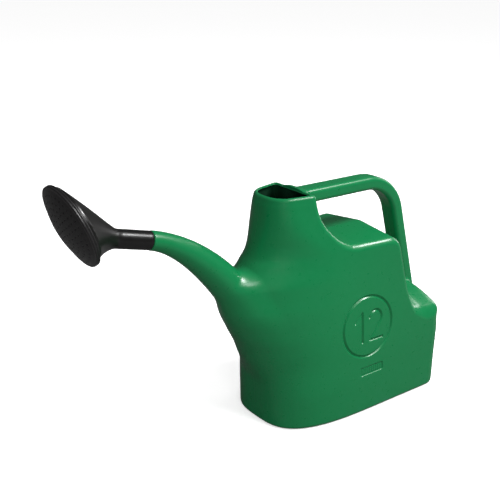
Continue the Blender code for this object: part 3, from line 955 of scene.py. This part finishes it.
@dataclass
class Rose:
    """The push-on rose: a flared bell with its socket, and a domed face with holes."""

    tip: np.ndarray
    axis: np.ndarray
    face_normal: np.ndarray
    socket_radius: float = 13.0
    socket_length: float = 52.0
    socket_wall: float = 1.6
    wall: float = 1.8
    depth: float = 67.0
    lift: float = 10.6
    bell_radius: float = 51.5
    band: float = 4.0
    flange: float = 6.0
    gap: float = 0.3
    radius: float = 57.0
    dome: float = 11.5
    edge: float = 1.3
    plate: float = 2.0
    rings: int = 6
    pitch: float = 7.8
    hole: float = 1.05
    hole_points: int = 12
    dish: float = 0.12
    collar: float = 0.5
    clear: float = 1.1
    filling: float = 2.6
    lip: float = 0.6
    groove_half: float = 0.4
    groove_depth: float = 0.5
    skirt_gap: float = 0.4
    skirt_length: float = 3.5
    skirt_wall: float = 2.0
    around: int = 128

    def face_centre(self) -> np.ndarray:
        """Return the middle of the face's rim."""
        up = np.array([self.axis[2], 0.0, -self.axis[0]])
        return self.tip + self.axis * (self.socket_length + self.depth) + up * self.lift

    def bell_rings(self, wall: float) -> tuple[np.ndarray, np.ndarray, np.ndarray]:
        """Return the rings of the bell's outer or inner surface, from socket to rim.

        The ring's middle runs from the socket's end to the rim, its heading turns
        with the square root of the way gone, and its radius grows with the power 1.25.

        Args:
            wall: how far inside the outer surface the rings lie.

        Returns:
            Middles, headings and radii.
        """
        t = np.linspace(0.0, 1.0, 44)[:, None]
        socket_end = self.tip + self.axis * self.socket_length
        band_middle = self.face_centre() - self.face_normal * (self.flange + self.gap + self.band)
        centres = socket_end + (band_middle - socket_end) * t
        headings = self.axis + (self.face_normal - self.axis) * np.sqrt(t)
        radii = self.socket_radius + (self.bell_radius - self.socket_radius) * t[:, 0] ** 1.25
        thickening = max(wall - self.socket_wall, 0.0) * np.minimum(t[:, 0] * 8.0, 1.0)
        return centres, headings, radii - (min(wall, self.socket_wall) + thickening)

    def make_bell(self) -> bpy.types.Object:
        """Build bell and socket as one closed wall: out along the bell, back inside it.

        Returns:
            The finished piece, rose_bell.
        """
        rim = self.face_centre() - self.face_normal * (self.flange + self.gap)
        edge = self.lip
        outer = self.bell_rings(0.0)
        inner = self.bell_rings(self.wall)
        along = np.array([0.5, 0.7, 1.1, 4.0, 16.0, 32.0, 46.0])[:, None]
        tube = self.tip + self.axis * along
        soft = np.array([edge, edge * 0.3, 0.0, 0.0, 0.0, 0.0, 0.0])
        tube_heads = np.repeat(self.axis[None, :], len(along), axis=0)
        lips = [(-1.0, 0.0), (-edge, 0.0), (-0.2, -0.2), (0.0, -edge),
                (0.0, edge - self.wall), (-0.2, 0.2 - self.wall), (-edge, -self.wall),
                (-1.6, -self.wall)]
        lip_middles = np.array([rim + self.face_normal * height for height, _ in lips])
        lip_radii = np.array([self.bell_radius + out for _, out in lips])
        lip_heads = np.repeat(self.face_normal[None, :], len(lips), axis=0)
        bore = self.socket_radius - self.socket_wall
        centres = np.concatenate([tube, outer[0], lip_middles, inner[0][::-1], tube[::-1]])
        heads = np.concatenate([tube_heads, outer[1], lip_heads, inner[1][::-1], tube_heads])
        radii = np.concatenate([self.socket_radius - soft, outer[2], lip_radii, inner[2][::-1],
                                (bore + soft)[::-1]])
        verts = swept_rings(centres, heads, radii, self.around)
        return mesh_object("rose_bell", verts, closed_both_ways(len(centres), self.around)[:, ::-1])

    def plate_sheet(self) -> tuple[np.ndarray, np.ndarray, np.ndarray]:
        """Triangulate the flat face round its holes.

        Every hole is a ring of points within a wider ring; the rest is filled with
        points on even circles.

        Returns:
            Flat points (n, 2), triangles, and the holes' rings as (holes, points).
        """
        middles = [np.zeros((1, 2))]
        for number in range(1, self.rings + 1):
            angle = np.arange(6 * number) * math.tau / (6 * number)
            middles.append(number * self.pitch * np.stack([np.cos(angle), np.sin(angle)], 1))
        middles = np.concatenate(middles)
        turn = np.arange(self.hole_points) * math.tau / self.hole_points
        ring = np.stack([np.cos(turn), np.sin(turn)], 1)
        holes = middles[:, None, :] + self.hole * ring
        collars = middles[:, None, :] + (self.hole + self.collar) * ring
        fill = []
        for radius in np.arange(self.filling, self.radius * 0.93, self.filling):
            count = int(math.tau * radius / self.filling)
            angle = np.arange(count) * math.tau / count
            fill.append(radius * np.stack([np.cos(angle), np.sin(angle)], 1))
        fill = np.concatenate(fill)
        gap = np.linalg.norm(fill[:, None] - middles[None], axis=2).min(axis=1)
        fill = fill[gap > self.hole + self.clear]
        angle = np.arange(self.around) * math.tau / self.around
        border = self.inner_radius() * np.stack([np.cos(angle), np.sin(angle)], 1)
        fill = fill[np.linalg.norm(fill, axis=1) < self.inner_radius() - 1.2]
        points = np.concatenate([border, holes.reshape(-1, 2), collars.reshape(-1, 2), fill])
        first = len(border)
        rings = first + np.arange(len(middles) * self.hole_points).reshape(-1, self.hole_points)
        edges = [(a, b) for row in rings.tolist() for a, b in zip(row, row[1:] + row[:1])]
        result = geometry.delaunay_2d_cdt([Vector(p) for p in points], edges, [], 0, 1e-5)
        flat = np.array(result[0])
        triangles = np.array(result[2])
        centre = flat[triangles].mean(axis=1)
        gap = np.linalg.norm(centre[:, None] - middles[None], axis=2).min(axis=1)
        return flat, triangles[gap > self.hole * 0.9], rings

    def inner_radius(self) -> float:
        """Return where the dome meets the face's rounded rim."""
        return self.radius - 3.2

    def dome_height(self, radius: np.ndarray) -> np.ndarray:
        """Return the dome's height over the rim's plane: 1 - (r / R)^2 of the dome."""
        return self.dome * (1.0 - (radius / (self.radius * 0.95)) ** 2)

    def rim_section(self) -> np.ndarray:
        """Draw the section of the face's rim, from the dome's edge round to its inside.

        Returns:
            (radius, height) points: a rounded flange with a groove in its edge, and
            the skirt that snaps into the bell.
        """
        angle = np.linspace(0.0, math.pi / 2, 5)[1:]
        edge = self.edge
        start = self.dome_height(np.array(self.inner_radius()))
        section = [(self.radius - 2.3, start * 0.35 + 0.15), (self.radius - edge, 0.0)]
        section += [(self.radius - edge + edge * math.sin(a), edge * (math.cos(a) - 1.0)) for a in angle]
        half, floor = self.groove_half, self.radius - self.groove_depth
        middle = -self.flange / 2
        section += [(self.radius, middle + half + 0.5), (floor, middle + half),
                    (floor, middle - half), (self.radius, middle - half - 0.5)]
        section += [(self.radius - edge + edge * math.cos(a), edge - self.flange - edge * math.sin(a))
                    for a in angle]
        skirt = self.bell_radius - self.wall - self.skirt_gap
        inside = skirt - self.skirt_wall
        bottom = -self.flange - self.skirt_length
        section += [(skirt + 0.3, -self.flange), (skirt, -self.flange - 0.3),
                    (skirt, bottom), (inside, bottom), (inside, -2.5)]
        return np.array(section)

    def make_face(self) -> bpy.types.Object:
        """Build the perforated face: an outer and an inner sheet, hole walls and the rim.

        Returns:
            The finished piece, rose_plate.
        """
        flat, triangles, rings = self.plate_sheet()
        radius = np.linalg.norm(flat, axis=1)
        top = np.column_stack([flat, self.dome_height(radius)])
        top[rings.ravel(), 2] -= self.dish
        under = np.column_stack([flat, self.dome_height(radius) - self.plate])
        count = len(flat)
        walls = []
        for row in rings:
            beside = np.roll(row, -1)
            walls.append(np.stack([row, beside, beside + count, row + count], 1))
        section = self.rim_section()
        turn = np.arange(self.around) * math.tau / self.around
        rim = np.stack([section[:, :1] * np.cos(turn), section[:, :1] * np.sin(turn),
                        np.repeat(section[:, 1:], self.around, axis=1)], axis=-1).reshape(-1, 3)
        verts = np.concatenate([top, under, rim])
        first = 2 * count
        rows = len(section)
        across = np.arange(self.around)
        beside = (across + 1) % self.around
        quads = [np.concatenate(walls), grid_faces(rows, self.around, first=first)[:, ::-1]]
        quads.append(np.stack([across, first + across, first + beside, beside], 1))
        last = first + (rows - 1) * self.around
        quads.append(np.stack([last + across, count + across, count + beside, last + beside], 1))
        faces = triangles.tolist() + (triangles[:, ::-1] + count).tolist()
        faces += np.concatenate(quads).tolist()
        face = polygon_object("rose_plate", self.placed(verts), faces)
        outward(face)
        return face

    def placed(self, local: np.ndarray) -> np.ndarray:
        """Carry points from the face's own frame, whose third axis leaves the face."""
        side = np.array([0.0, 1.0, 0.0])
        across = np.cross(side, self.face_normal)
        return self.face_centre() + local @ np.stack([across, side, self.face_normal])


def outward(piece: bpy.types.Object) -> None:
    """Turn the faces of a closed piece so that they all face out."""
    bm = bmesh.new()
    bm.from_mesh(piece.data)
    bmesh.ops.recalc_face_normals(bm, faces=bm.faces)
    bm.to_mesh(piece.data)
    bm.free()
    piece.data.shade_smooth()


# ------------------------------------------------------------------ finishes

class Slot(Enum):
    """The record's material slots."""

    GREEN = "green_plastic"
    BLACK = "black_plastic"


@dataclass(frozen=True)
class Wire:
    """A node tree with short ways to add nodes and links."""

    tree: bpy.types.NodeTree

    def node(self, kind: str, **values: object) -> bpy.types.Node:
        """Add a node and set its properties or, by socket name, its input values.

        Args:
            kind: the node's type name.
            values: properties, or inputs with spaces written as underscores.

        Returns:
            The new node.
        """
        made = self.tree.nodes.new(kind)
        for name, value in values.items():
            if hasattr(made, name):
                setattr(made, name, value)
            else:
                made.inputs[name.replace("_", " ")].default_value = value
        return made

    def link(self, start: bpy.types.NodeSocket, end: bpy.types.NodeSocket) -> None:
        """Join two sockets."""
        self.tree.links.new(start, end)

    def math(self, operation: str, *values: object) -> bpy.types.NodeSocket:
        """Add a Math node whose inputs are sockets or numbers.

        Args:
            operation: the node's operation.
            values: its inputs in order.

        Returns:
            The node's result.
        """
        made = self.node("ShaderNodeMath", operation=operation)
        for socket, value in zip(made.inputs, values):
            if isinstance(value, bpy.types.NodeSocket):
                self.link(value, socket)
            else:
                socket.default_value = value
        return made.outputs[0]


def group_of(name: str, inputs: dict[str, tuple[str, object]],
             outputs: dict[str, str]) -> tuple[Wire, bpy.types.Node, bpy.types.Node]:
    """Start a shader node group with named sockets.

    Args:
        name: the group's name.
        inputs: socket name to type and default.
        outputs: socket name to type.

    Returns:
        The wire, the group's input node and its output node.
    """
    tree = bpy.data.node_groups.new(name, "ShaderNodeTree")
    for label, (kind, value) in inputs.items():
        socket = tree.interface.new_socket(label, in_out="INPUT", socket_type=kind)
        if value is not None:
            socket.default_value = value
    for label, kind in outputs.items():
        tree.interface.new_socket(label, in_out="OUTPUT", socket_type=kind)
    wire = Wire(tree)
    return wire, wire.node("NodeGroupInput"), wire.node("NodeGroupOutput")


def grain_group() -> bpy.types.NodeTree:
    """Make the moulded grain: fine pebbles over a slight waviness of the wall.

    Returns:
        A group that puts out a height, which the bump's distance scales, and a 0 to 1 mottle.
    """
    inputs = {"Vector": ("NodeSocketVector", None), "Pebble": ("NodeSocketFloat", 900.0),
              "Waviness": ("NodeSocketFloat", 0.3)}
    wire, start, end = group_of("moulded_grain", inputs, {"Height": "NodeSocketFloat",
                                                          "Mottle": "NodeSocketFloat"})
    pebble = wire.node("ShaderNodeTexNoise", Detail=2.0, Roughness=0.55)
    wire.link(start.outputs["Vector"], pebble.inputs["Vector"])
    wire.link(start.outputs["Pebble"], pebble.inputs["Scale"])
    wave = wire.node("ShaderNodeTexNoise", Scale=26.0, Detail=1.0, Roughness=0.4)
    wire.link(start.outputs["Vector"], wave.inputs["Vector"])
    mottle = wire.node("ShaderNodeTexNoise", Scale=120.0, Detail=3.0, Roughness=0.6)
    wire.link(start.outputs["Vector"], mottle.inputs["Vector"])
    swell = wire.math("MULTIPLY", wave.outputs["Fac"], start.outputs["Waviness"])
    wire.link(wire.math("ADD", pebble.outputs["Fac"], swell), end.inputs["Height"])
    wire.link(mottle.outputs["Fac"], end.inputs["Mottle"])
    return wire.tree


def wear_group() -> bpy.types.NodeTree:
    """Make the traces of handling and standing: scuffs near the ground and soft rubs.

    Returns:
        A group that puts out a 0 to 1 mask, strongest near the ground.
    """
    inputs = {"Vector": ("NodeSocketVector", None), "Reach": ("NodeSocketFloat", 0.03),
              "Amount": ("NodeSocketFloat", 1.0)}
    wire, start, end = group_of("handling_wear", inputs, {"Mask": "NodeSocketFloat"})
    split = wire.node("ShaderNodeSeparateXYZ")
    wire.link(start.outputs["Vector"], split.inputs["Vector"])
    low = wire.math("DIVIDE", split.outputs["Z"], start.outputs["Reach"])
    near_ground = wire.math("SUBTRACT", 1.0, low)
    near_ground = wire.math("MAXIMUM", near_ground, 0.0)
    rub = wire.node("ShaderNodeTexNoise", Scale=60.0, Detail=6.0, Roughness=0.7)
    wire.link(start.outputs["Vector"], rub.inputs["Vector"])
    spots = wire.node("ShaderNodeMapRange", From_Min=0.52, From_Max=0.72)
    wire.link(rub.outputs["Fac"], spots.inputs["Value"])
    everywhere = wire.math("MULTIPLY", spots.outputs["Result"], 0.12)
    base = wire.math("MULTIPLY", near_ground, spots.outputs["Result"])
    both = wire.math("ADD", base, everywhere)
    wire.link(wire.math("MULTIPLY", both, start.outputs["Amount"]), end.inputs["Mask"])
    return wire.tree


@dataclass(frozen=True)
class MouldedPlastic:
    """A moulded plastic: colour, gloss, grain and the traces of use."""

    name: str
    colour: tuple[float, float, float]
    mottled: tuple[float, float, float]
    worn: tuple[float, float, float]
    roughness: float
    specular: float
    pebble: float
    grain_height: float
    waviness: float
    wear: float
    parting_line: bool = False

    def build(self, grain: bpy.types.NodeTree, wear: bpy.types.NodeTree) -> bpy.types.Material:
        """Wire the material from the shared groups.

        Args:
            grain: the moulded_grain group.
            wear: the handling_wear group.

        Returns:
            The finished material.
        """
        material = bpy.data.materials.new(self.name)
        material.use_nodes = True
        wire = Wire(material.node_tree)
        shader = material.node_tree.nodes["Principled BSDF"]
        shader.inputs["Specular IOR Level"].default_value = self.specular
        place = wire.node("ShaderNodeTexCoord").outputs["Object"]
        texture = wire.node("ShaderNodeGroup", node_tree=grain)
        texture.inputs["Pebble"].default_value = self.pebble
        texture.inputs["Waviness"].default_value = self.waviness
        rubbed = wire.node("ShaderNodeGroup", node_tree=wear)
        rubbed.inputs["Amount"].default_value = self.wear
        for group in (texture, rubbed):
            wire.link(place, group.inputs["Vector"])
        base = wire.node("ShaderNodeMix", data_type="RGBA")
        base.inputs[6].default_value = (*self.colour, 1.0)
        base.inputs[7].default_value = (*self.mottled, 1.0)
        wire.link(texture.outputs["Mottle"], base.inputs["Factor"])
        aged = wire.node("ShaderNodeMix", data_type="RGBA")
        aged.inputs[7].default_value = (*self.worn, 1.0)
        wire.link(rubbed.outputs["Mask"], aged.inputs["Factor"])
        wire.link(base.outputs[2], aged.inputs[6])
        wire.link(aged.outputs[2], shader.inputs["Base Color"])
        rough = wire.math("MULTIPLY_ADD", texture.outputs["Mottle"], 0.10, self.roughness - 0.05)
        rough = wire.math("MULTIPLY_ADD", rubbed.outputs["Mask"], 0.25, rough)
        wire.link(rough, shader.inputs["Roughness"])
        height = texture.outputs["Height"]
        if self.parting_line:
            height = wire.math("ADD", height, self.seam(wire, place))
        bump = wire.node("ShaderNodeBump", Strength=1.0, Distance=self.grain_height)
        wire.link(height, bump.inputs["Height"])
        wire.link(bump.outputs["Normal"], shader.inputs["Normal"])
        material.diffuse_color = (*self.colour, 1.0)
        return material

    def seam(self, wire: Wire, place: bpy.types.NodeSocket) -> bpy.types.NodeSocket:
        """Raise a thin bead where the mould's halves meet, the plane y = 0.

        Args:
            wire: the material's wire.
            place: the socket with the object's coordinates.

        Returns:
            The bead's height, on the grain's scale.
        """
        split = wire.node("ShaderNodeSeparateXYZ")
        wire.link(place, split.inputs["Vector"])
        off = wire.math("ABSOLUTE", split.outputs["Y"])
        bead = wire.node("ShaderNodeMapRange", interpolation_type="SMOOTHSTEP",
                         From_Min=0.0, From_Max=0.0007, To_Min=4.0, To_Max=0.0)
        wire.link(off, bead.inputs["Value"])
        return bead.outputs["Result"]


GREEN_SKIN = MouldedPlastic(
    name="green_moulding", colour=(0.0030, 0.150, 0.045), mottled=(0.0040, 0.162, 0.052),
    worn=(0.014, 0.170, 0.075), roughness=0.29, specular=0.46, pebble=900.0,
    grain_height=0.00006, waviness=1.2, wear=0.8, parting_line=True)
# Painted shade: the lining is the same green plastic as the skin, coloured about five times darker so that
# the hollow inside the tank looks shaded.
GREEN_INSIDE_PAINTED_SHADE = MouldedPlastic(
    name="green_inside_painted_shade", colour=(0.004, 0.032, 0.014), mottled=(0.006, 0.040, 0.018),
    worn=(0.010, 0.050, 0.024), roughness=0.62, specular=0.2, pebble=500.0,
    grain_height=0.00008, waviness=1.0, wear=0.2)
BLACK_SMOOTH = MouldedPlastic(
    name="black_moulding", colour=(0.0030, 0.0028, 0.0027), mottled=(0.0045, 0.0042, 0.0040),
    worn=(0.018, 0.017, 0.016), roughness=0.30, specular=0.45, pebble=700.0,
    grain_height=0.00004, waviness=0.8, wear=0.35)
BLACK_GRAINED = MouldedPlastic(
    name="black_grained", colour=(0.0060, 0.0058, 0.0060), mottled=(0.016, 0.0155, 0.016),
    worn=(0.030, 0.029, 0.028), roughness=0.40, specular=0.45, pebble=1100.0,
    grain_height=0.00014, waviness=0.5, wear=0.35)


# -------------------------------------------------------------------- studio

@dataclass
class Studio:
    """Pale floor, soft lights and the camera."""

    azimuth: float = math.radians(37.117)
    elevation: float = math.radians(20.36)
    lens: float = 64.8
    aim: Place = (-0.165, 0.0, 0.277)
    distance: float = 1.283
    floor_reach: float = 30000.0
    floor_bounce: float = 0.15
    floor_glow: float = 0.55
    backdrop: float = 1.05
    sky_low: float = 0.16
    sky_high: float = 0.62
    sky_in_gloss: float = 0.07

    def floor(self) -> bpy.types.Object:
        """Build a wide, gently grained floor as a grid of points.

        The camera sees it pale and faintly lit from within, so that it fades into the
        backdrop. Its bounce light is dim, so that the can's undersides stay dark.

        Returns:
            The floor.
        """
        rows = 25
        line = np.linspace(-self.floor_reach, self.floor_reach, rows)
        x, y = np.meshgrid(line, line, indexing="ij")
        verts = np.stack([x.ravel(), y.ravel(), np.zeros(x.size)], axis=1)
        floor = mesh_object("floor", verts, grid_faces(rows, rows, closed=False)[:, ::-1])
        material = bpy.data.materials.new("pale_floor")
        material.use_nodes = True
        wire = Wire(material.node_tree)
        shader = material.node_tree.nodes["Principled BSDF"]
        shader.inputs["Roughness"].default_value = 0.9
        shader.inputs["Specular IOR Level"].default_value = 0.1
        noise = wire.node("ShaderNodeTexNoise", Scale=40.0, Detail=2.0)
        wire.link(wire.node("ShaderNodeTexCoord").outputs["Object"], noise.inputs["Vector"])
        tone = wire.node("ShaderNodeMix", data_type="RGBA")
        tone.inputs[6].default_value = (0.93, 0.93, 0.93, 1.0)
        tone.inputs[7].default_value = (0.96, 0.96, 0.96, 1.0)
        wire.link(noise.outputs["Fac"], tone.inputs["Factor"])
        bounce = wire.node("ShaderNodeMix", data_type="RGBA")
        bounce.inputs[6].default_value = (*(self.floor_bounce,) * 3, 1.0)
        seen = wire.node("ShaderNodeLightPath").outputs["Is Camera Ray"]
        wire.link(seen, bounce.inputs["Factor"])
        wire.link(tone.outputs[2], bounce.inputs[7])
        wire.link(bounce.outputs[2], shader.inputs["Base Color"])
        wire.link(tone.outputs[2], shader.inputs["Emission Color"])
        wire.link(wire.math("MULTIPLY", seen, self.floor_glow), shader.inputs["Emission Strength"])
        floor.data.materials.append(material)
        return floor

    def light(self, name: str, place: Place, aim: Place, size: tuple[float, float],
              power: float, mirrored: bool = True) -> None:
        """Hang one soft rectangular light.

        Args:
            name: the light's name.
            place: where it hangs, in metres.
            aim: the point it faces.
            size: its width and height.
            power: its power in watts.
            mirrored: whether it shows in glossy surfaces.
        """
        data = bpy.data.lights.new(name, "AREA")
        data.shape = "RECTANGLE"
        data.size, data.size_y = size
        data.energy = power
        lamp = bpy.data.objects.new(name, data)
        lamp.location = place
        lamp.visible_glossy = mirrored
        lamp.rotation_euler = (Vector(aim) - Vector(place)).to_track_quat("-Z", "Y").to_euler()
        bpy.context.scene.collection.objects.link(lamp)

    def surroundings(self) -> None:
        """Make the world: white behind the can, a grey sky that lights it from above."""
        world = bpy.data.worlds.new("studio")
        world.use_nodes = True
        wire = Wire(world.node_tree)
        back = world.node_tree.nodes["Background"]
        back.inputs["Color"].default_value = (1.0, 1.0, 1.0, 1.0)
        path = wire.node("ShaderNodeLightPath")
        strength = wire.node("ShaderNodeMix", data_type="FLOAT")
        split = wire.node("ShaderNodeSeparateXYZ")
        wire.link(wire.node("ShaderNodeTexCoord").outputs["Generated"], split.inputs["Vector"])
        height = wire.node("ShaderNodeMapRange", To_Min=self.sky_low, To_Max=self.sky_high)
        wire.link(split.outputs["Z"], height.inputs["Value"])
        wire.link(height.outputs["Result"], strength.inputs[2])
        strength.inputs[3].default_value = self.backdrop
        wire.link(path.outputs["Is Camera Ray"], strength.inputs["Factor"])
        mirrored = wire.node("ShaderNodeMix", data_type="FLOAT")
        mirrored.inputs[3].default_value = self.sky_in_gloss
        wire.link(path.outputs["Is Glossy Ray"], mirrored.inputs["Factor"])
        wire.link(strength.outputs[0], mirrored.inputs[2])
        wire.link(mirrored.outputs[0], back.inputs["Strength"])
        bpy.context.scene.world = world

    def camera(self) -> None:
        """Place the camera on its line of sight through the aim point."""
        data = bpy.data.cameras.new("camera")
        data.lens = self.lens
        data.sensor_width = 36.0
        data.clip_start, data.clip_end = 0.01, 200.0
        forward = Vector((math.sin(self.azimuth) * math.cos(self.elevation),
                          math.cos(self.azimuth) * math.cos(self.elevation),
                          -math.sin(self.elevation)))
        holder = bpy.data.objects.new("camera", data)
        holder.location = Vector(self.aim) - forward * self.distance
        holder.rotation_euler = forward.to_track_quat("-Z", "Y").to_euler()
        bpy.context.scene.collection.objects.link(holder)
        bpy.context.scene.camera = holder

    def build(self) -> None:
        """Set up the floor, the surroundings, the lights and the camera."""
        self.floor()
        self.surroundings()
        self.light("overhead", (1.0, -0.8, 1.9), (-0.05, 0.0, 0.2), (0.5, 0.4), 46.0)
        self.light("side_fill", (2.2, 0.3, 0.75), (0.0, 0.0, 0.2), (0.5, 1.2), 10.0)
        self.light("upper_fill", (0.4, -1.7, 2.1), (0.0, 0.0, 0.15), (0.8, 0.8), 26.0)
        self.light("low_fill", (-1.3, -2.3, 0.8), (-0.1, 0.0, 0.1), (1.3, 0.9), 30.0, mirrored=False)
        self.camera()
        bpy.context.scene.view_settings.view_transform = "Standard"


# ---------------------------------------------------------------------- main

def dress(piece: bpy.types.Object, material: bpy.types.Material, body: str, slot: Slot,
          *nodes: str) -> None:
    """Give a finished piece its material and its body, and hide the CAD nodes it replaces.

    Args:
        piece: the finished piece.
        material: its finish.
        body: the body it rides on.
        slot: the record's slot for its finish; not used.
        nodes: the CAD nodes it replaces.
    """
    piece.data.materials.append(material)
    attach(piece, body)
    if nodes:
        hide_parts(*nodes)
    LOG.info("%s: %d faces on body %s", piece.name, len(piece.data.polygons), body)


def joint(name: str) -> dict[str, object]:
    """Return one of the frame's joints by name."""
    return next(j for j in frame["joints"] if j["name"] == name)


def build_can(grain: bpy.types.NodeTree, wear: bpy.types.NodeTree) -> None:
    """Build the moulding's skin and lining from the frame's sizes.

    Args:
        grain: the moulded_grain group.
        wear: the handling_wear group.
    """
    turn = joint("rose_turn")
    tip = np.array(turn["pos_m"]) / MM
    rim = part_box("neck")[1].z / MM
    spout = Spout(tip=tip[[0, 2]], rise=math.atan2(turn["axis"][2], -turn["axis"][0]))
    neck_rear = -82.0
    handle = Handle(top=rim - 1.5, start_x=neck_rear - 12.0, foot=np.array([152.0, 163.0]))
    can = Can(spout=spout, handle=handle, emblem=Emblem(), rim=rim, neck_rear=neck_rear)
    dress(can.make_skin(), GREEN_SKIN.build(grain, wear), "can", Slot.GREEN,
          "tank_shell", "neck", "spout", "handle")
    # The lining takes the darker green, which is painted shade for the inside of the tank.
    dress(can.make_lining(), GREEN_INSIDE_PAINTED_SHADE.build(grain, wear), "can", Slot.GREEN)


def build_rose(grain: bpy.types.NodeTree, wear: bpy.types.NodeTree) -> None:
    """Build the spigot and the rose from the frame's joints.

    Args:
        grain: the moulded_grain group.
        wear: the handling_wear group.
    """
    turn = joint("rose_turn")
    tip = np.array(turn["pos_m"]) / MM
    axis = np.array(turn["axis"])
    normal = np.array(joint("face_pull")["axis"])
    spigot = Spigot(tip=tip, axis=axis)
    rose = Rose(tip=tip, axis=axis, face_normal=normal)
    dress(spigot.build(), bpy.data.materials["green_moulding"], "spigot", Slot.GREEN, "spout_spigot")
    dress(rose.make_bell(), BLACK_SMOOTH.build(grain, wear), "rose", Slot.BLACK, "rose_body")
    dress(rose.make_face(), BLACK_GRAINED.build(grain, wear), "face", Slot.BLACK, "rose_face")


def main() -> None:
    """Build the can, the rose and the studio in order."""
    logging.basicConfig(level=logging.INFO, format="%(message)s")
    grain, wear = grain_group(), wear_group()
    build_can(grain, wear)
    build_rose(grain, wear)
    Studio().build()


if __name__ == "__main__":
    main()
